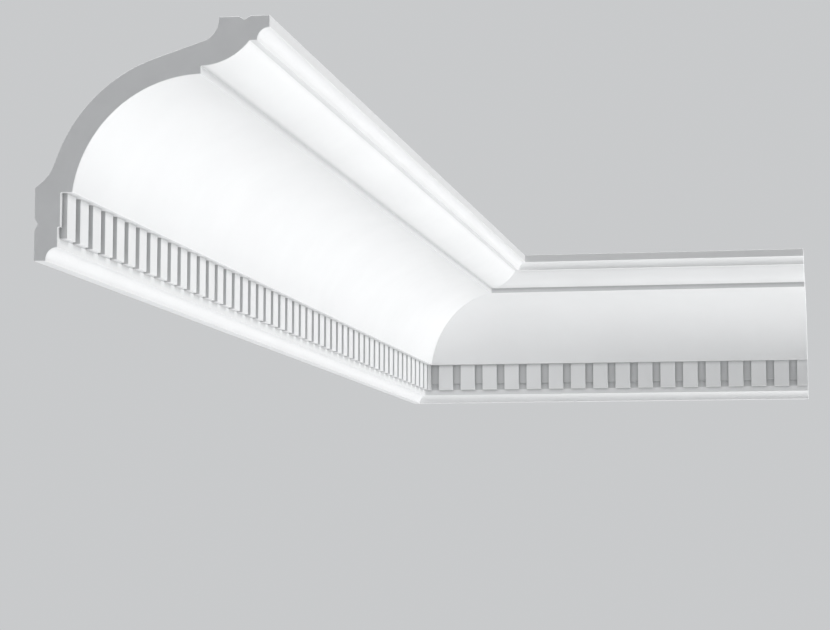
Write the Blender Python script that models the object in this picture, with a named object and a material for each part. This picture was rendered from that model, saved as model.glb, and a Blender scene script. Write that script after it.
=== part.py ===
"""A dentil cornice turned round an inside corner of a room.

Two lengths of one moulding meet on a mitre: a long run along one wall and a short return run
along the next. Each length is sawn from the same stock, square at its outer end and at
45 degrees in the corner. The dentils are cast in one piece with the moulding.

Metres, +Z up. The long run is fixed to the wall plane X = 0 and faces +X. The return run is
fixed to the wall plane at the far end of the long run and faces -Y. The origin lies on the
long run's wall face, halfway along it.
"""

import math

import bmesh
import bpy
from mathutils import Vector

# The runs
LONG_LENGTH = 1.207          # long run, along the wall, from its square end to the room's corner
RETURN_LENGTH = 0.4187       # return run, from the room's corner to its square end
MITRE_JOINT = 0.0003         # open joint between the two mitred faces
ORIGIN_HEIGHT = 0.009        # the origin above the bottom edge, on the flat under the glue groove

# The section: x is the distance out from the wall, z the height above the bottom edge
HEIGHT = 0.140               # down the wall
PROJECTION = 0.140           # out along the ceiling
SHELL = 0.0147               # thickness of the moulding behind the cove

# Crown, from the ceiling down to the neck above the cove
CROWN_FACE = 0.0072          # height of the outermost upright face
CROWN_CAVETTO = 0.0074       # radius of the small hollow below it
CROWN_LEDGE = 0.0044         # width of the flat between the small hollow and the ovolo
OVOLO_REACH = 0.0290         # width of the ovolo
OVOLO_RISE = 0.0139          # height of the ovolo
NECK_FACE = 0.0047           # height of the upright face between the ovolo and the cove

# Foot and dentil band, from the wall and the bottom edge up and out to the lip of the cove
FOOT_WIDTH = 0.0072          # width of the bottom face
FOOT_EDGE = 0.0008           # height of the square nib over it
FOOT_CAVETTO = 0.0070        # radius of the small hollow under the band
BAND_SHOWING = 0.0055        # height of the flat band under the dentils
DENTIL_LAP = 0.0064          # how far the dentils hang down over the band
DENTIL_HEIGHT = 0.0266
DENTIL_WIDTH = 0.01565
DENTIL_GAP = 0.0080
DENTIL_RELIEF = 0.0029       # the dentils' front ahead of the back of the gaps
GAP_STEP = 0.0015            # the back of the gaps ahead of the band
LIP_OVERHANG = 0.0042        # lip of the cove ahead of the dentils' front

# Where the saw cuts fall in the row of dentils
LONG_FIRST_DENTIL = 0.0040   # square end of the long run to its first dentil
RETURN_FIRST_GAP = 0.0213    # room's corner to the return run's first gap

# Back of the section
WALL_LAND = 0.0433           # height of the flat that bears on the wall
WALL_LAND_SLOPE = 39.0       # degrees from level, of the back where it leaves the wall
WALL_SIDE_BLEND = 7.1        # degrees of the curved back given up to its rounding at the wall
WALL_SIDE_ROUND = 0.022      # radius that turns the back towards the wall
CEILING_LAND = 0.0302        # width of the flat that bears on the ceiling
CEILING_SIDE_SLOPE = 17.5    # degrees from level, of the straight back above the neck
CEILING_SIDE_ROUND = 0.0135  # radius that turns the back towards the ceiling

# Grooves for the adhesive, along the middle of the two bearing faces
GROOVE_WIDTH = 0.0070
GROOVE_DEPTH = 0.0021

# Steps along each curve
COVE_STEPS = 18
BACK_STEPS = 14
SMALL_STEPS = 7

SPARE = 0.010                # stock beyond the saw cuts, and cutters beyond the stock
EMBED = 0.002                # how far a dentil's body reaches into the stock
ROOM_USED = 0.95             # share of a straight line that a rounded corner may take up

WHITE = (0.86, 0.86, 0.85, 1.0)
ROUGHNESS = 0.45

# Places in the section that several shapes share
BAND_FACE = FOOT_WIDTH + FOOT_CAVETTO
GAP_FACE = BAND_FACE + GAP_STEP
DENTIL_FACE = GAP_FACE + DENTIL_RELIEF
DENTIL_FOOT = FOOT_EDGE + FOOT_CAVETTO + BAND_SHOWING
BAND_TOP = DENTIL_FOOT + DENTIL_LAP
SOFFIT = DENTIL_FOOT + DENTIL_HEIGHT


def arc(centre, radius, start, end, steps):
    """Points on a circle about a centre, from one angle to another in degrees, ends included."""
    points = []
    for i in range(steps + 1):
        angle = math.radians(start + (end - start) * i / steps)
        points.append((centre[0] + radius * math.cos(angle), centre[1] + radius * math.sin(angle)))
    return points


def crossing(point_a, angle_a, point_b, angle_b):
    """Where two lines meet, each given by a point and its slope in degrees."""
    ax, az = math.cos(math.radians(angle_a)), math.sin(math.radians(angle_a))
    bx, bz = math.cos(math.radians(angle_b)), math.sin(math.radians(angle_b))
    dx, dz = point_b[0] - point_a[0], point_b[1] - point_a[1]
    along = (dx * bz - dz * bx) / (ax * bz - az * bx)
    return (point_a[0] + ax * along, point_a[1] + az * along)


def rounded(before, corner, after, radius, steps):
    """The corner between two straight lines, rounded by an arc that touches both.

    The radius is as asked, or the largest that the shorter line has room for.
    """
    middle = Vector(corner)
    one = Vector(before) - middle
    two = Vector(after) - middle
    half = one.angle(two) / 2
    radius = min(radius, min(one.length, two.length) * ROOM_USED * math.tan(half))
    one.normalize()
    two.normalize()
    centre = middle + (one + two).normalized() * radius / math.sin(half)
    spokes = [middle + leg * radius / math.tan(half) - centre for leg in (one, two)]
    start, end = [math.degrees(math.atan2(spoke.y, spoke.x)) for spoke in spokes]
    turn = (end - start + 180) % 360 - 180
    return arc(centre, radius, start, start + turn, steps)


def level_arc(level_end, other_end, steps):
    """An arc that leaves one point on the level and ends in another, with its centre and radius."""
    dx, dz = other_end[0] - level_end[0], other_end[1] - level_end[1]
    rise = (dx ** 2 + dz ** 2) / (2 * dz)
    centre = (level_end[0], level_end[1] + rise)
    start = math.copysign(90, -rise)
    end = math.degrees(math.atan2(other_end[1] - centre[1], other_end[0] - centre[0]))
    turn = (end - start + 180) % 360 - 180
    return arc(centre, abs(rise), start, start + turn, steps), centre, abs(rise)


def cove_arc():
    """The large hollow, from the neck down to the lip, with its centre and radius."""
    ovolo_top = HEIGHT - CROWN_FACE - CROWN_CAVETTO
    neck = (PROJECTION - CROWN_CAVETTO - CROWN_LEDGE - OVOLO_REACH, ovolo_top - OVOLO_RISE - NECK_FACE)
    lip = (DENTIL_FACE + LIP_OVERHANG, SOFFIT)
    return level_arc(neck, lip, COVE_STEPS)


def front_of_section():
    """The side that shows, from the ceiling's outer edge down to the wall."""
    small_hollow = (PROJECTION, HEIGHT - CROWN_FACE - CROWN_CAVETTO)
    ovolo_end = (PROJECTION - CROWN_CAVETTO - CROWN_LEDGE, small_hollow[1])
    ovolo_start = (ovolo_end[0] - OVOLO_REACH, ovolo_end[1] - OVOLO_RISE)
    ovolo, _, _ = level_arc(ovolo_start, ovolo_end, SMALL_STEPS)
    cove, _, _ = cove_arc()
    points = [(PROJECTION, HEIGHT)]
    points += arc(small_hollow, CROWN_CAVETTO, 90, 180, SMALL_STEPS)
    points += reversed(ovolo)
    points += cove
    points += [(GAP_FACE, SOFFIT), (GAP_FACE, BAND_TOP), (BAND_FACE, BAND_TOP)]
    points += arc((BAND_FACE, FOOT_EDGE), FOOT_CAVETTO, 90, 180, SMALL_STEPS)
    points += [(FOOT_WIDTH, 0)]
    return points


def leaving_angle(point, slope, centre, radius):
    """Where a line from a point meets a circle, as an angle about the circle's centre."""
    ux, uz = math.cos(math.radians(slope)), math.sin(math.radians(slope))
    dx, dz = point[0] - centre[0], point[1] - centre[1]
    half = dx * ux + dz * uz
    along = -half - math.sqrt(half ** 2 - dx ** 2 - dz ** 2 + radius ** 2)
    return math.degrees(math.atan2(dz + uz * along, dx + ux * along)) % 360


def back_of_section():
    """The side against the wall and the ceiling, from the wall's bottom edge up and out."""
    _, centre, radius = cove_arc()
    radius += SHELL
    wall_flat = (0, WALL_LAND)
    ceiling_flat = (PROJECTION - CEILING_LAND, HEIGHT)
    wall_end = leaving_angle(wall_flat, WALL_LAND_SLOPE, centre, radius) - WALL_SIDE_BLEND
    ceiling_end = 90 + CEILING_SIDE_SLOPE
    curve = arc(centre, radius, wall_end, ceiling_end, BACK_STEPS)
    wall_corner = crossing(wall_flat, WALL_LAND_SLOPE, curve[0], wall_end - 90)
    ceiling_corner = crossing(ceiling_flat, 90, curve[-1], CEILING_SIDE_SLOPE)
    wall_groove = WALL_LAND / 2
    ceiling_groove = PROJECTION - CEILING_LAND / 2
    half = GROOVE_WIDTH / 2
    points = [(0, 0)]
    points += [(0, wall_groove - half), (GROOVE_DEPTH, wall_groove), (0, wall_groove + half), wall_flat]
    points += rounded(wall_flat, wall_corner, curve[0], WALL_SIDE_ROUND, SMALL_STEPS)
    points += curve
    points += rounded(curve[-1], ceiling_corner, ceiling_flat, CEILING_SIDE_ROUND, SMALL_STEPS)
    points += [ceiling_flat, (ceiling_groove - half, HEIGHT)]
    points += [(ceiling_groove, HEIGHT - GROOVE_DEPTH), (ceiling_groove + half, HEIGHT)]
    return points


def extruded(name, ring, step):
    """A closed mesh that carries a flat ring of points along a step."""
    bm = bmesh.new()
    face = bm.faces.new([bm.verts.new(point) for point in ring])
    moved = bmesh.ops.extrude_face_region(bm, geom=[face])["geom"]
    corners = [part for part in moved if isinstance(part, bmesh.types.BMVert)]
    bmesh.ops.translate(bm, vec=step, verts=corners)
    bmesh.ops.recalc_face_normals(bm, faces=bm.faces)
    mesh = bpy.data.meshes.new(name)
    bm.to_mesh(mesh)
    bm.free()
    return mesh


def along_wall(name, outline, low, high):
    """A section in x and z, carried along Y."""
    return extruded(name, [(x, low, z) for x, z in outline], (0, high - low, 0))


def upright(name, plan, low, high):
    """A plan in x and y, carried up along Z."""
    return extruded(name, [(x, y, low) for x, y in plan], (0, 0, high - low))


def add_object(name, mesh, parent, rotation=0.0):
    """An object under the corner's empty, turned about the corner."""
    obj = bpy.data.objects.new(name, mesh)
    bpy.context.scene.collection.objects.link(obj)
    obj.parent = parent
    obj.rotation_euler = (0, 0, rotation)
    return obj


def add_tool(name, mesh, parent, rotation):
    """A helper that shapes a run and isn't part of the object."""
    tool = add_object(name, mesh, parent, rotation)
    tool.hide_render = True
    tool.display_type = "WIRE"
    return tool


def add_boolean(obj, tool, operation):
    modifier = obj.modifiers.new(tool.name, "BOOLEAN")
    modifier.object = tool
    modifier.operation = operation
    modifier.solver = "EXACT"


def white_polymer(name):
    material = bpy.data.materials.new(name)
    material.use_nodes = True
    shader = material.node_tree.nodes["Principled BSDF"]
    shader.inputs["Base Color"].default_value = WHITE
    shader.inputs["Roughness"].default_value = ROUGHNESS
    shader.inputs["Metallic"].default_value = 0.0
    return material


def dentil_row(name, first, low, high, parent, rotation):
    """Dentils along Y that cover a stretch: one starts at first, the rest a pitch apart."""
    pitch = DENTIL_WIDTH + DENTIL_GAP
    start = first - math.ceil((first + DENTIL_WIDTH - low) / pitch - 1) * pitch
    count = math.ceil((high - start) / pitch)
    back = BAND_FACE - EMBED
    top = SOFFIT + EMBED
    outline = [(back, DENTIL_FOOT), (DENTIL_FACE, DENTIL_FOOT), (DENTIL_FACE, top), (back, top)]
    row = add_tool(name, along_wall(name, outline, start, start + DENTIL_WIDTH), parent, rotation)
    array = row.modifiers.new("pitch", "ARRAY")
    array.count = count
    array.use_relative_offset = False
    array.use_constant_offset = True
    array.constant_offset_displace = (0, pitch, 0)
    return row


def cornice_run(name, plan, first_dentil, parent, rotation=0.0):
    """One length: stock with its dentils, cut to the plan that the two saw cuts leave."""
    outline = front_of_section() + back_of_section()
    low = min(y for _, y in plan)
    high = max(y for _, y in plan)
    run = add_object(name, along_wall(name, outline, low - SPARE, high + SPARE), parent, rotation)
    run.data.materials.append(white_polymer(name))
    row = dentil_row(name + "_dentils", first_dentil, low - SPARE, high + SPARE, parent, rotation)
    cut_name = name + "_cuts"
    cut = add_tool(cut_name, upright(cut_name, plan, -SPARE, HEIGHT + SPARE), parent, rotation)
    add_boolean(run, row, "UNION")
    add_boolean(run, cut, "INTERSECT")
    return run


def build():
    for obj in list(bpy.data.objects):
        bpy.data.objects.remove(obj, do_unlink=True)
    corner = bpy.data.objects.new("room_corner", None)
    bpy.context.scene.collection.objects.link(corner)
    corner.location = (0, LONG_LENGTH / 2, -ORIGIN_HEIGHT)

    # Both plans have the wall at x = 0 and the room's corner at y = 0. The mitre runs at
    # 45 degrees, and half of the open joint comes off each run.
    inner, outer = -SPARE, PROJECTION + SPARE
    back_off = MITRE_JOINT / 2 * math.sqrt(2)
    long_plan = [(inner, -LONG_LENGTH), (outer, -LONG_LENGTH),
                 (outer, -outer - back_off), (inner, -inner - back_off)]
    return_plan = [(inner, RETURN_LENGTH), (outer, RETURN_LENGTH),
                   (outer, outer + back_off), (inner, inner + back_off)]
    cornice_run("cornice_long_run", long_plan, LONG_FIRST_DENTIL - LONG_LENGTH, corner)
    cornice_run("cornice_return_run", return_plan, RETURN_FIRST_GAP + DENTIL_GAP, corner, math.radians(-90))


build()
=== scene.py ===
import math

import bmesh
import bpy
from mathutils import Matrix, Vector


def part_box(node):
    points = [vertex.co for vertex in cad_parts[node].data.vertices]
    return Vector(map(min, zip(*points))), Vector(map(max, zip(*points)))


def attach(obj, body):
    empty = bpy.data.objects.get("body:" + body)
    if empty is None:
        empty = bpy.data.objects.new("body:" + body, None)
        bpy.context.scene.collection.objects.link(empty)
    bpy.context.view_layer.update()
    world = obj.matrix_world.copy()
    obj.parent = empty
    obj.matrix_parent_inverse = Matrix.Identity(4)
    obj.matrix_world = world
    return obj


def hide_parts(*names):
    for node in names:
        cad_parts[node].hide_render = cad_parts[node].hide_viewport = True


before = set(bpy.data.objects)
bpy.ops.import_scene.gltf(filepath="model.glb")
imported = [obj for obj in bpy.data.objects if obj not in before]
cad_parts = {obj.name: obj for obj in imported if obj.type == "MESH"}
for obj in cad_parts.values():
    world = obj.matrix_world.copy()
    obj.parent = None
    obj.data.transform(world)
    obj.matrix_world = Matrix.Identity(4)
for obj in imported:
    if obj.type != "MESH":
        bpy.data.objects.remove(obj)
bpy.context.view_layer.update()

# A dentil cornice turned round an inside corner: the finish of its two runs. Metres, +Z up.
# The long run stands against the wall plane X = 0, and the return run against the next wall.

# Places that come from the solids. The room's corner is where the two walls meet, level with the
# bottom edge, and each run's length is measured from it.
LONG_LOW, LONG_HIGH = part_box("cornice_long_run")
_, RETURN_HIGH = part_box("cornice_return_run")
HEIGHT = LONG_HIGH.z - LONG_LOW.z
PROJECTION = LONG_HIGH.x - LONG_LOW.x
ROOM_CORNER = Vector((LONG_LOW.x, RETURN_HIGH.y, LONG_LOW.z))
LONG_LENGTH = ROOM_CORNER.y - LONG_LOW.y
RETURN_LENGTH = RETURN_HIGH.x - ROOM_CORNER.x

# The section, as the solids have it: x out from the wall, z up from the bottom edge
SHELL = 0.0147
CROWN_FACE = 0.0072
CROWN_CAVETTO = 0.0074
CROWN_LEDGE = 0.0044
OVOLO_REACH = 0.0290
OVOLO_RISE = 0.0139
NECK_FACE = 0.0047
FOOT_WIDTH = 0.0072
FOOT_EDGE = 0.0008
FOOT_CAVETTO = 0.0070
BAND_SHOWING = 0.0055
DENTIL_LAP = 0.0064
DENTIL_HEIGHT = 0.0266
DENTIL_WIDTH = 0.01565
DENTIL_GAP = 0.0080
DENTIL_RELIEF = 0.0029
GAP_STEP = 0.0015
LIP_OVERHANG = 0.0042
LONG_FIRST_DENTIL = 0.0040
RETURN_FIRST_GAP = 0.0213
WALL_LAND = 0.0433
WALL_LAND_SLOPE = 39.0
WALL_SIDE_BLEND = 7.1
WALL_SIDE_ROUND = 0.022
CEILING_LAND = 0.0302
CEILING_SIDE_SLOPE = 17.5
CEILING_SIDE_ROUND = 0.0135
GROOVE_WIDTH = 0.0070
GROOVE_DEPTH = 0.0021

BAND_FACE = FOOT_WIDTH + FOOT_CAVETTO
GAP_FACE = BAND_FACE + GAP_STEP
DENTIL_FACE = GAP_FACE + DENTIL_RELIEF
DENTIL_FOOT = FOOT_EDGE + FOOT_CAVETTO + BAND_SHOWING
BAND_TOP = DENTIL_FOOT + DENTIL_LAP
SOFFIT = DENTIL_FOOT + DENTIL_HEIGHT

# What the casting has beyond the solids
ARRIS = 0.0004               # radius that the mould and the primer leave on an edge
ARRIS_STEPS = 3
CORNER_TURN = 18.0           # degrees, above which a bend in the section is an edge
DENTIL_ARRIS = 0.00035
DENTIL_DRAFT = 0.00010       # how much narrower each side of a dentil is at its front
SAWN_EDGE = 0.0003           # the edge of a sawn end, broken with abrasive
JOINT = 0.00004              # hairline left at the mitre
HALF_JOINT = JOINT / 2 * math.sqrt(2)  # one run's share of it, measured along the run
LEAST_DENTIL = 0.0005        # a shorter end of a dentil breaks off at the saw
COVE_STEPS = 72
BACK_STEPS = 48
CAVETTO_STEPS = 16
OVOLO_STEPS = 24
SMOOTH_BELOW = 32.0          # degrees

EMBED = 0.002                # how far a dentil is let into the stock
SLIVER = 0.000001            # narrower faces are dissolved
ROOM_USED = 0.45             # most that the rounding of an edge takes of a side beside it
ROOM_ON_BACK = 0.95          # the same at the two bends behind, where no side is shared
SAW_MARKS = (0.06, 0.06, 1.0)  # the blade's marks run level, so they are fine only in height

CREASE_REACH = 0.0046        # reach of the ambient occlusion that paints shade into a crease
CREASE_RANGE = (0.42, 0.95)  # openness where the painted shade is darkest, and where it ends
NOISE_RANGE = (0.3, 0.7)     # where nearly all of a noise's values lie
COLOUR_INPUTS = slice(6, 8)  # the sockets of a mix node that take colours
COLOUR_OUTPUT = 2            # and the one that gives a colour

# Slots of a run's materials
PRIMED, CAST_BACK, SAWN, SAWN_SKIN, SHADED_GAP, SHADED_NECK = range(6)


def arc(centre, radius, start, end, steps):
    """Points on a circle about a centre, from one angle to another in degrees, ends included."""
    points = []
    for i in range(steps + 1):
        angle = math.radians(start + (end - start) * i / steps)
        points.append((centre[0] + radius * math.cos(angle), centre[1] + radius * math.sin(angle)))
    return points


def crossing(point_a, angle_a, point_b, angle_b):
    """Where two lines meet, each given by a point and its slope in degrees."""
    ax, az = math.cos(math.radians(angle_a)), math.sin(math.radians(angle_a))
    bx, bz = math.cos(math.radians(angle_b)), math.sin(math.radians(angle_b))
    dx, dz = point_b[0] - point_a[0], point_b[1] - point_a[1]
    along = (dx * bz - dz * bx) / (ax * bz - az * bx)
    return (point_a[0] + ax * along, point_a[1] + az * along)


def rounded(before, corner, after, radius, steps, room):
    """The corner between two straight lines, rounded by an arc that touches both.

    The radius is as asked, or the largest that the shorter line has room for.
    """
    middle = Vector(corner)
    one = Vector(before) - middle
    two = Vector(after) - middle
    half = one.angle(two) / 2
    radius = min(radius, min(one.length, two.length) * room * math.tan(half))
    one.normalize()
    two.normalize()
    centre = middle + (one + two).normalized() * radius / math.sin(half)
    spokes = [middle + leg * radius / math.tan(half) - centre for leg in (one, two)]
    start, end = [math.degrees(math.atan2(spoke.y, spoke.x)) for spoke in spokes]
    turn = (end - start + 180) % 360 - 180
    return arc(centre, radius, start, start + turn, steps)


def level_arc(level_end, other_end, steps):
    """An arc that leaves one point on the level and ends in another, with its centre and radius."""
    dx, dz = other_end[0] - level_end[0], other_end[1] - level_end[1]
    rise = (dx ** 2 + dz ** 2) / (2 * dz)
    centre = (level_end[0], level_end[1] + rise)
    start = math.copysign(90, -rise)
    end = math.degrees(math.atan2(other_end[1] - centre[1], other_end[0] - centre[0]))
    turn = (end - start + 180) % 360 - 180
    return arc(centre, abs(rise), start, start + turn, steps), centre, abs(rise)


def tagged(points, slot):
    return [(point, slot) for point in points]


def cove_arc():
    """The large hollow, from the neck down to the lip, with its centre and radius."""
    neck_x = PROJECTION - CROWN_CAVETTO - CROWN_LEDGE - OVOLO_REACH
    neck_foot = HEIGHT - CROWN_FACE - CROWN_CAVETTO - OVOLO_RISE - NECK_FACE
    lip = (DENTIL_FACE + LIP_OVERHANG, SOFFIT)
    return level_arc((neck_x, neck_foot), lip, COVE_STEPS)


def front_of_section():
    """The side that shows, from the ceiling's outer edge down to the bottom edge's front.

    Each point comes with its slot.
    """
    hollow_centre = (PROJECTION, HEIGHT - CROWN_FACE - CROWN_CAVETTO)
    ovolo_end = (PROJECTION - CROWN_CAVETTO - CROWN_LEDGE, hollow_centre[1])
    ovolo_start = (ovolo_end[0] - OVOLO_REACH, ovolo_end[1] - OVOLO_RISE)
    ovolo, _, _ = level_arc(ovolo_start, ovolo_end, OVOLO_STEPS)
    cove, _, _ = cove_arc()
    crown = [(PROJECTION, HEIGHT)]
    crown += arc(hollow_centre, CROWN_CAVETTO, 90, 180, CAVETTO_STEPS)
    crown += reversed(ovolo[1:])
    neck = [ovolo[0], cove[0]]
    between = [(GAP_FACE, SOFFIT), (GAP_FACE, BAND_TOP)]
    between += [(BAND_FACE, BAND_TOP), (BAND_FACE, DENTIL_FOOT)]
    foot = arc((BAND_FACE, FOOT_EDGE), FOOT_CAVETTO, 90, 180, CAVETTO_STEPS)
    foot += [(FOOT_WIDTH, 0)]
    # The neck and the faces between the dentils take the slots that are painted darker as painted
    # shade
    return (tagged(crown, PRIMED) + tagged(neck, SHADED_NECK) + tagged(cove[1:], PRIMED)
            + tagged(between, SHADED_GAP) + tagged(foot, PRIMED))


def leaving_angle(point, slope, centre, radius):
    """Where a line from a point meets a circle, as an angle about the circle's centre."""
    ux, uz = math.cos(math.radians(slope)), math.sin(math.radians(slope))
    dx, dz = point[0] - centre[0], point[1] - centre[1]
    half = dx * ux + dz * uz
    along = -half - math.sqrt(half ** 2 - dx ** 2 - dz ** 2 + radius ** 2)
    return math.degrees(math.atan2(dz + uz * along, dx + ux * along)) % 360


def back_of_section():
    """The side against the wall and the ceiling, from the wall's bottom edge up and out."""
    _, centre, radius = cove_arc()
    radius += SHELL
    wall_flat = (0, WALL_LAND)
    ceiling_flat = (PROJECTION - CEILING_LAND, HEIGHT)
    wall_end = leaving_angle(wall_flat, WALL_LAND_SLOPE, centre, radius) - WALL_SIDE_BLEND
    ceiling_end = 90 + CEILING_SIDE_SLOPE
    curve = arc(centre, radius, wall_end, ceiling_end, BACK_STEPS)
    wall_corner = crossing(wall_flat, WALL_LAND_SLOPE, curve[0], wall_end - 90)
    ceiling_corner = crossing(ceiling_flat, 90, curve[-1], CEILING_SIDE_SLOPE)
    wall_groove = WALL_LAND / 2
    ceiling_groove = PROJECTION - CEILING_LAND / 2
    half = GROOVE_WIDTH / 2
    points = [(0, 0)]
    points += [(0, wall_groove - half), (GROOVE_DEPTH, wall_groove), (0, wall_groove + half)]
    points += [wall_flat]
    points += rounded(wall_flat, wall_corner, curve[0], WALL_SIDE_ROUND, CAVETTO_STEPS,
                      ROOM_ON_BACK)
    points += curve
    points += rounded(curve[-1], ceiling_corner, ceiling_flat, CEILING_SIDE_ROUND, CAVETTO_STEPS,
                      ROOM_ON_BACK)
    points += [ceiling_flat, (ceiling_groove - half, HEIGHT)]
    points += [(ceiling_groove, HEIGHT - GROOVE_DEPTH), (ceiling_groove + half, HEIGHT)]
    return points


def softened(outline):
    """The outline with each edge rounded, as pairs of a point and its slot."""
    soft = []
    count = len(outline)
    for i, (corner, slot) in enumerate(outline):
        before = Vector(outline[i - 1][0])
        after = Vector(outline[(i + 1) % count][0])
        here = Vector(corner)
        turn = math.degrees((here - before).angle(after - here))
        if turn < CORNER_TURN:
            soft.append((corner, slot))
        else:
            soft += tagged(rounded(before, here, after, ARRIS, ARRIS_STEPS, ROOM_USED), slot)
    return soft


def section():
    """The whole fine section, as pairs of a point and its slot."""
    return softened(front_of_section() + tagged(back_of_section(), CAST_BACK))


def new_mesh(name, bm, materials):
    bmesh.ops.recalc_face_normals(bm, faces=bm.faces)
    mesh = bpy.data.meshes.new(name)
    bm.to_mesh(mesh)
    bm.free()
    for material in materials:
        mesh.materials.append(material)
    return mesh


def linked(name, data):
    """A new object in the scene, from a mesh, a light or a camera."""
    obj = bpy.data.objects.new(name, data)
    bpy.context.scene.collection.objects.link(obj)
    return obj


def shrunk(outline, inset):
    """The outline with each point moved in from its two sides by the same amount."""
    area = sum(a.cross(b) for a, b in zip(outline, outline[1:] + outline[:1]))
    inward = math.copysign(inset, area)
    inner = []
    for i, here in enumerate(outline):
        one = (here - outline[i - 1]).orthogonal().normalized()
        two = (outline[(i + 1) % len(outline)] - here).orthogonal().normalized()
        inner.append(here + (one + two) * inward / (1 + one.dot(two)))
    return inner


def add_strips(bm, ring_a, ring_b, slots):
    """A closed band of faces between two rings of the same length."""
    for i, slot in enumerate(slots):
        j = (i + 1) % len(slots)
        face = bm.faces.new((ring_a[i], ring_a[j], ring_b[j], ring_b[i]))
        face.material_index = slot


def stock_mesh(name, side, length, open_from, materials):
    """The moulding without its dentils, from the mitre to the square end.

    It lies along Y, with the room's corner at y = 0 and the square end on the given side of it.
    Beyond open_from no dentil stands beside the gap faces, so they take the plain primer there and
    not the gaps' painted shade.
    """
    outline = section()
    points = [Vector(point) for point, _ in outline]
    slots = []
    for i, (_, slot) in enumerate(outline):
        next_slot = outline[(i + 1) % len(outline)][1]
        slots.append(slot if slot == next_slot else PRIMED)
    # Past the last dentil the gap faces lose the gaps' painted shade
    open_slots = [PRIMED if slot == SHADED_GAP else slot for slot in slots]
    bm = bmesh.new()
    mitre = [bm.verts.new((p.x, side * (p.x + HALF_JOINT), p.y)) for p in points]
    last_covered = [bm.verts.new((p.x, side * (open_from - EMBED), p.y)) for p in points]
    end = [bm.verts.new((p.x, side * (length - SAWN_EDGE), p.y)) for p in points]
    rim = [bm.verts.new((p.x, side * length, p.y)) for p in shrunk(points, SAWN_EDGE)]
    add_strips(bm, mitre, last_covered, slots)
    add_strips(bm, last_covered, end, open_slots)
    # The broken edge of the sawn end is coloured lighter: partly the foam's denser skin, partly a
    # painted highlight
    add_strips(bm, end, rim, [SAWN_SKIN] * len(points))
    for cap in (mitre, rim):
        bm.faces.new(cap).material_index = SAWN
    return new_mesh(name, bm, materials)


def add_dentil(bm, side, start, end, length):
    """One dentil as a closed block let into the stock, with soft arrises where it isn't cut."""
    back, top = BAND_FACE - EMBED, SOFFIT + EMBED
    # A corner's key says whether it is at the back, on the side near the mitre and at the top
    corners = {}
    for x in (back, DENTIL_FACE):
        draft = DENTIL_DRAFT if x == DENTIL_FACE else 0
        near = max(start + draft, x + HALF_JOINT)
        far = min(end - draft, length)
        for y in (near, far):
            for z in (DENTIL_FOOT, top):
                corners[x == back, y == near, z == top] = bm.verts.new((x, side * y, z))
    is_cut = {True: start < DENTIL_FACE + HALF_JOINT, False: end > length}
    is_last = end + DENTIL_GAP + LEAST_DENTIL > length
    order = ((False, False), (False, True), (True, True), (True, False))
    faces = []
    for axis in range(3):
        for value in (False, True):
            keys = [pair[:axis] + (value,) + pair[axis:] for pair in order]
            faces.append(bm.faces.new([corners[key] for key in keys]))
            if axis == 1:
                # A dentil's side takes the gaps' painted shade, but the far side of the last one,
                # with no dentil beyond it, stays plain primer
                beside = PRIMED if is_last and not value else SHADED_GAP
                faces[-1].material_index = SAWN if is_cut[value] else beside
    bmesh.ops.recalc_face_normals(bm, faces=faces)
    soft = [(corners[False, False, False], corners[False, True, False])]
    for is_near, cut in is_cut.items():
        if not cut:
            front_foot = corners[False, is_near, False]
            soft.append((front_foot, corners[False, is_near, True]))
            soft.append((front_foot, corners[True, is_near, False]))
    edges = [bm.edges.get(pair) for pair in soft]
    bmesh.ops.bevel(bm, geom=edges, offset=DENTIL_ARRIS, segments=2, profile=0.5, affect="EDGES")


def dentil_starts(length, one_start):
    """Where each dentil of a run starts from the corner, given where any one of them does."""
    pitch = DENTIL_WIDTH + DENTIL_GAP
    first = math.ceil((DENTIL_FACE + LEAST_DENTIL - DENTIL_WIDTH - one_start) / pitch)
    last = math.floor((length - LEAST_DENTIL - one_start) / pitch)
    return [one_start + i * pitch for i in range(first, last + 1)]


def dentil_mesh(name, side, length, starts, materials):
    """The row of dentils over a run."""
    bm = bmesh.new()
    for start in starts:
        add_dentil(bm, side, start, start + DENTIL_WIDTH, length)
    return new_mesh(name, bm, materials)


def joined(stock, dentils):
    """The two objects made one solid mesh, without the slivers where their faces coincide."""
    union = stock.modifiers.new("dentils_on_stock", "BOOLEAN")
    union.object = dentils
    union.operation = "UNION"
    union.solver = "MANIFOLD"
    shaped = stock.evaluated_get(bpy.context.evaluated_depsgraph_get())
    mesh = bpy.data.meshes.new_from_object(shaped)
    bpy.data.objects.remove(stock)
    bpy.data.objects.remove(dentils)
    bm = bmesh.new()
    bm.from_mesh(mesh)
    bmesh.ops.dissolve_degenerate(bm, dist=SLIVER, edges=bm.edges)
    bm.to_mesh(mesh)
    bm.free()
    return mesh


def shaded_flat_and_round(obj):
    """Smooth shading over the curves and arrises, while flat faces stay flat."""
    obj.data.shade_smooth()
    obj.data.set_sharp_from_angle(angle=math.radians(SMOOTH_BELOW))
    weighted = obj.modifiers.new("weighted_normals", "WEIGHTED_NORMAL")
    weighted.keep_sharp = True
    shaped = obj.evaluated_get(bpy.context.evaluated_depsgraph_get())
    mesh = bpy.data.meshes.new_from_object(shaped)
    obj.modifiers.clear()
    obj.data = mesh


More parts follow.
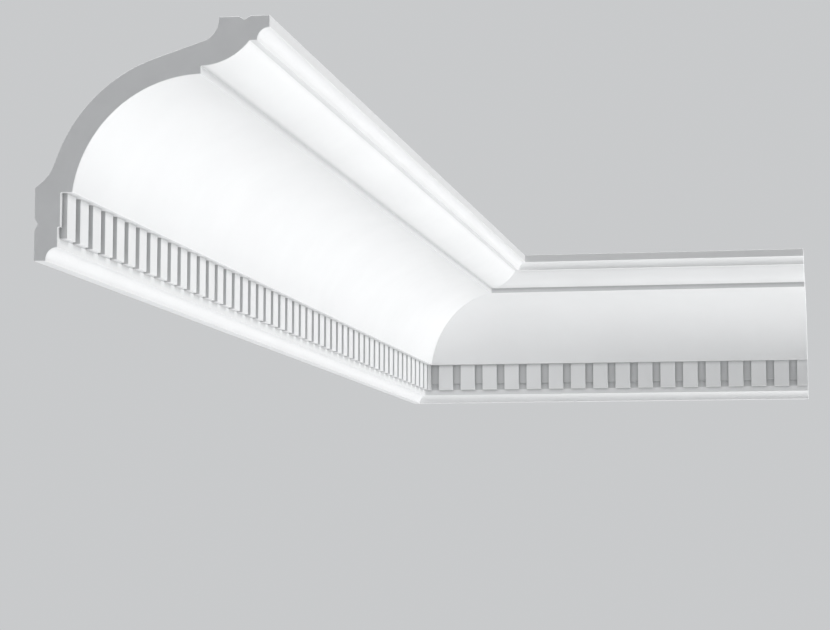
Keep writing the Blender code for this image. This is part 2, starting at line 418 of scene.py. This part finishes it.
def cornice_run(name, node, side, length, one_start, turn, materials):
    """One run of the cornice, in the place of its solid."""
    starts = dentil_starts(length, one_start)
    open_from = min(starts[-1] + DENTIL_WIDTH, length)
    stock_name, row_name = name + "_stock", name + "_row"
    stock = linked(stock_name, stock_mesh(stock_name, side, length, open_from, materials))
    dentils = linked(row_name, dentil_mesh(row_name, side, length, starts, materials))
    mesh = joined(stock, dentils)
    mesh.name = name
    mesh.transform(Matrix.Translation(ROOM_CORNER) @ Matrix.Rotation(math.radians(turn), 4, "Z"))
    obj = linked(name, mesh)
    shaded_flat_and_round(obj)
    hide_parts(node)
    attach(obj, "root")


def set_range(node, within, to):
    """Makes a map range node stretch one range to another."""
    for socket, value in zip(("From Min", "From Max", "To Min", "To Max"), within + to):
        node.inputs[socket].default_value = value


class Nodes:
    """A material's node tree, with short calls to add and join nodes."""

    def __init__(self, name):
        self.material = bpy.data.materials.new(name)
        self.material.use_nodes = True
        self.tree = self.material.node_tree
        self.shader = self.tree.nodes["Principled BSDF"]
        self.place = self.tree.nodes.new("ShaderNodeTexCoord").outputs["Object"]

    def add(self, kind, **settings):
        node = self.tree.nodes.new(kind)
        for key, value in settings.items():
            if key in node.inputs:
                node.inputs[key].default_value = value
            else:
                setattr(node, key, value)
        return node

    def join(self, out, into):
        self.tree.links.new(out, into)

    def noise(self, scale, detail=2.0, stretch=None):
        node = self.add("ShaderNodeTexNoise", Scale=scale, Detail=detail)
        if stretch is None:
            self.join(self.place, node.inputs["Vector"])
        else:
            mapping = self.add("ShaderNodeMapping", Scale=stretch)
            self.join(self.place, mapping.inputs["Vector"])
            self.join(mapping.outputs["Vector"], node.inputs["Vector"])
        return node.outputs["Fac"]

    def between(self, value, to=(0.0, 1.0), within=NOISE_RANGE):
        node = self.add("ShaderNodeMapRange")
        set_range(node, within, to)
        self.join(value, node.inputs["Value"])
        return node.outputs["Result"]

    def colours(self, value, *pair):
        """One colour where the value is 0 and the other where it is 1; either may be a node's."""
        node = self.add("ShaderNodeMix", data_type="RGBA")
        for colour, socket in zip(pair, node.inputs[COLOUR_INPUTS]):
            if isinstance(colour, tuple):
                socket.default_value = (*colour, 1)
            else:
                self.join(colour, socket)
        self.join(value, node.inputs["Factor"])
        return node.outputs[COLOUR_OUTPUT]

    def bump(self, height, strength, distance, normal=None):
        node = self.add("ShaderNodeBump", Strength=strength, Distance=distance)
        self.join(height, node.inputs["Height"])
        if normal is not None:
            self.join(normal, node.inputs["Normal"])
        return node.outputs["Normal"]


def primed(name, shades, crease_painted_shade, roughness):
    """Factory primer: satin, faintly mottled, with the fine peel of a sprayed coat.

    Creases are painted darker from an ambient occlusion node, as painted shade.
    """
    nodes = Nodes(name)
    mottle = nodes.between(nodes.noise(scale=14.0, detail=3.0))
    # Painted shade: the colour turns to the crease colour where ambient occlusion finds the surface
    # closed in
    crease = nodes.add("ShaderNodeAmbientOcclusion", Distance=CREASE_REACH, samples=8,
                       only_local=True)
    open_share = nodes.between(crease.outputs["AO"], within=CREASE_RANGE)
    nodes.join(nodes.colours(open_share, crease_painted_shade, nodes.colours(mottle, *shades)),
               nodes.shader.inputs["Base Color"])
    nodes.join(nodes.between(nodes.noise(scale=60.0), to=roughness),
               nodes.shader.inputs["Roughness"])
    peel = nodes.bump(nodes.noise(scale=420.0), strength=0.06, distance=0.0002)
    fine = nodes.bump(nodes.noise(scale=1900.0, detail=1.0), strength=0.03, distance=0.0001,
                      normal=peel)
    nodes.join(fine, nodes.shader.inputs["Normal"])
    return nodes.material


def cast_back():
    """The unpainted back: slightly cream, a little uneven, with the foam's fine-celled skin."""
    nodes = Nodes("cast_back")
    cloud = nodes.between(nodes.noise(scale=5.0, detail=3.0))
    nodes.join(nodes.colours(cloud, *BACK_SHADES), nodes.shader.inputs["Base Color"])
    nodes.join(nodes.between(nodes.noise(scale=90.0), to=BACK_ROUGHNESS),
               nodes.shader.inputs["Roughness"])
    waves = nodes.bump(nodes.noise(scale=55.0), strength=0.12, distance=0.0006)
    cells = nodes.bump(nodes.noise(scale=650.0, detail=3.0), strength=0.12, distance=0.0003,
                       normal=waves)
    nodes.join(cells, nodes.shader.inputs["Normal"])
    return nodes.material


def sawn_foam(name, shades, cells):
    """A sawn face of rigid foam: even grey, with fine cells and the faint marks of the blade."""
    nodes = Nodes(name)
    cloud = nodes.between(nodes.noise(scale=70.0, detail=3.0))
    nodes.join(nodes.colours(cloud, *shades), nodes.shader.inputs["Base Color"])
    nodes.shader.inputs["Roughness"].default_value = SAWN_ROUGHNESS
    pores = nodes.add("ShaderNodeTexVoronoi", Scale=cells)
    nodes.join(nodes.place, pores.inputs["Vector"])
    blade = nodes.bump(nodes.noise(scale=260.0, detail=1.0, stretch=SAW_MARKS),
                       strength=0.10, distance=0.0003)
    pitted = nodes.bump(pores.outputs["Distance"], strength=0.12, distance=0.0002, normal=blade)
    nodes.join(pitted, nodes.shader.inputs["Normal"])
    return nodes.material


def stage_floor():
    nodes = Nodes("pale_floor")
    cloud = nodes.between(nodes.noise(scale=0.25))
    nodes.join(nodes.colours(cloud, *FLOOR_SHADES), nodes.shader.inputs["Base Color"])
    nodes.shader.inputs["Roughness"].default_value = FLOOR_ROUGHNESS
    bm = bmesh.new()
    bmesh.ops.create_circle(bm, cap_ends=True, segments=96, radius=FLOOR_RADIUS)
    floor = linked("floor", new_mesh("floor", bm, [nodes.material]))
    floor.location = (0, 0, FLOOR_HEIGHT)


def area_light(name, place, target, size, power):
    data = bpy.data.lights.new(name, "AREA")
    data.shape = "SQUARE"
    data.size = size
    data.energy = power
    light = linked(name, data)
    light.location = place
    light.visible_camera = False
    light.rotation_mode = "QUATERNION"
    light.rotation_quaternion = (Vector(target) - Vector(place)).to_track_quat("-Z", "Y")


def overhead_light(strength, softness):
    """A broad light from straight above, which the floor throws back up."""
    data = bpy.data.lights.new("overhead", "SUN")
    data.energy = strength
    data.angle = math.radians(softness)
    linked("overhead", data)


def studio_world(strength, shown):
    """A pale plain backdrop, whose light on the moulding fades towards the zenith."""
    world = bpy.data.worlds.new("studio")
    world.use_nodes = True
    tree = world.node_tree
    place = tree.nodes.new("ShaderNodeTexCoord")
    height = tree.nodes.new("ShaderNodeSeparateXYZ")
    fade = tree.nodes.new("ShaderNodeMapRange")
    fade.interpolation_type = "SMOOTHSTEP"
    heights = (math.sin(math.radians(BACKDROP_TOP)), math.sin(math.radians(ZENITH_FROM)))
    set_range(fade, heights, (1.0, ZENITH_SHARE))
    background = tree.nodes["Background"]
    shade = tree.nodes.new("ShaderNodeMath")
    shade.operation = "MULTIPLY"
    shade.inputs[1].default_value = strength
    path = tree.nodes.new("ShaderNodeLightPath")
    choice = tree.nodes.new("ShaderNodeMix")
    choice.inputs["B"].default_value = shown
    tree.links.new(place.outputs["Generated"], height.inputs["Vector"])
    tree.links.new(height.outputs["Z"], fade.inputs["Value"])
    tree.links.new(fade.outputs["Result"], shade.inputs[0])
    tree.links.new(path.outputs["Is Camera Ray"], choice.inputs["Factor"])
    tree.links.new(shade.outputs["Value"], choice.inputs["A"])
    tree.links.new(choice.outputs["Result"], background.inputs["Strength"])
    background.inputs["Color"].default_value = (*BACKDROP_COLOUR, 1)
    bpy.context.scene.world = world


def add_camera():
    data = bpy.data.cameras.new("camera")
    data.sensor_fit = "HORIZONTAL"
    data.sensor_width = SENSOR
    data.lens = FOCAL_PIXELS / IMAGE_WIDTH * SENSOR
    data.clip_start, data.clip_end = NEAREST_SEEN, 2 * FLOOR_RADIUS
    camera = linked("camera", data)
    turn = Matrix.Rotation(math.radians(CAMERA_TURN), 4, "Z")
    tilt = Matrix.Rotation(math.radians(90 + CAMERA_TILT), 4, "X")
    roll = Matrix.Rotation(math.radians(-CAMERA_ROLL), 4, "Z")
    camera.matrix_world = Matrix.Translation(CAMERA_PLACE) @ turn @ tilt @ roll
    bpy.context.scene.camera = camera


# The camera, solved from the moulding's own lines in the photograph
IMAGE_WIDTH = 830
SENSOR = 36.0
FOCAL_PIXELS = 2374.0
CAMERA_PLACE = (0.46823, -1.90685, -0.18713)
CAMERA_TURN = 10.562         # degrees left of +Y
CAMERA_TILT = 6.135          # degrees up
CAMERA_ROLL = -0.053         # degrees
NEAREST_SEEN = 0.05

# The studio: a floor well below the moulding, a pale backdrop and soft lights
FLOOR_HEIGHT = -5.60
FLOOR_RADIUS = 80.0
BACKDROP_COLOUR = (0.97, 0.985, 1.0)
BACKDROP_TOP = 13.0          # degrees above the horizon where its light starts to fade
ZENITH_FROM = 32.0           # degrees, above which its light is least
ZENITH_SHARE = 0.15          # what is left of the light there

WORLD_STRENGTH = 0.44
BACKDROP_SHOWN = 0.60        # strength of the backdrop behind the moulding, the same all round
SUN_STRENGTH = 3.5
SUN_SOFTNESS = 20.0          # degrees across

# Each square light: where it stands, what it faces, how wide it is, and its watts
SIDE_LIGHT = {"place": (3.20, 0.65, -1.80), "target": (0.10, 0.00, 0.05),
              "size": 1.2, "power": 88.0}
KEY_LIGHT = {"place": (1.50, -1.50, -0.55), "target": (0.20, 0.40, 0.05),
             "size": 0.4, "power": 5.0}

# The finishes: the two tones that each drifts between, the darker colour that painted shade gives a
# crease, and the roughness, as one value or as the least and the greatest
PRIMER_SHADES = ((0.775, 0.778, 0.782), (0.755, 0.758, 0.762))
# The neck under the ovolo and the gaps between the dentils are darker as painted shade
NECK_PAINTED_SHADE_TONES = ((0.675, 0.68, 0.685), (0.655, 0.66, 0.665))
GAP_PAINTED_SHADE_TONES = ((0.585, 0.59, 0.595), (0.565, 0.57, 0.575))
BACK_SHADES = ((0.765, 0.757, 0.733), (0.738, 0.728, 0.700))
SAWN_SHADES = ((0.735, 0.74, 0.75), (0.705, 0.71, 0.72))
# The rim of a sawn end is lighter: partly the foam's denser skin, partly a painted highlight
SAWN_SKIN_AND_HIGHLIGHT_TONES = ((0.83, 0.835, 0.84), (0.80, 0.805, 0.81))
FLOOR_SHADES = ((0.560, 0.567, 0.570), (0.548, 0.555, 0.558))
# The colours that painted shade gives the creases, on the open faces and in the gaps
CREASE_PAINTED_SHADE = (0.40, 0.405, 0.41)
GAP_CREASE_PAINTED_SHADE = (0.44, 0.445, 0.45)
PRIMER_ROUGHNESS = (0.42, 0.50)
NECK_ROUGHNESS = (0.46, 0.54)
GAP_ROUGHNESS = (0.50, 0.58)
BACK_ROUGHNESS = (0.55, 0.75)
SAWN_ROUGHNESS = 0.85
FLOOR_ROUGHNESS = 0.9
SAWN_CELLS = 1500.0          # cells of the foam to the metre
SAWN_SKIN_CELLS = 2600.0

bpy.context.scene.view_settings.view_transform = "Standard"

# In the order of the slots. The neck under the ovolo is painted darker than the open faces, and
# the narrow gaps between the dentils darker still, as painted shade.
materials = [primed("primed_white", PRIMER_SHADES, CREASE_PAINTED_SHADE, PRIMER_ROUGHNESS),
             cast_back(),
             sawn_foam("sawn_foam", SAWN_SHADES, SAWN_CELLS),
             # The rim's material is lighter: partly the foam's denser skin, partly a painted
             # highlight
             sawn_foam("sawn_skin_and_highlight", SAWN_SKIN_AND_HIGHLIGHT_TONES, SAWN_SKIN_CELLS),
             primed("primed_gap_painted_shade", GAP_PAINTED_SHADE_TONES, GAP_CREASE_PAINTED_SHADE, GAP_ROUGHNESS),
             primed("primed_neck_painted_shade", NECK_PAINTED_SHADE_TONES, CREASE_PAINTED_SHADE, NECK_ROUGHNESS)]

# The long run lies on the near side of the room's corner; the return is turned off along +X
cornice_run("long_run", "cornice_long_run", -1, LONG_LENGTH,
            LONG_LENGTH - LONG_FIRST_DENTIL - DENTIL_WIDTH, 0, materials)
cornice_run("return_run", "cornice_return_run", 1, RETURN_LENGTH,
            RETURN_FIRST_GAP + DENTIL_GAP, -90, materials)

stage_floor()
add_camera()
studio_world(WORLD_STRENGTH, BACKDROP_SHOWN)
overhead_light(SUN_STRENGTH, SUN_SOFTNESS)
area_light("side", **SIDE_LIGHT)
area_light("key", **KEY_LIGHT)
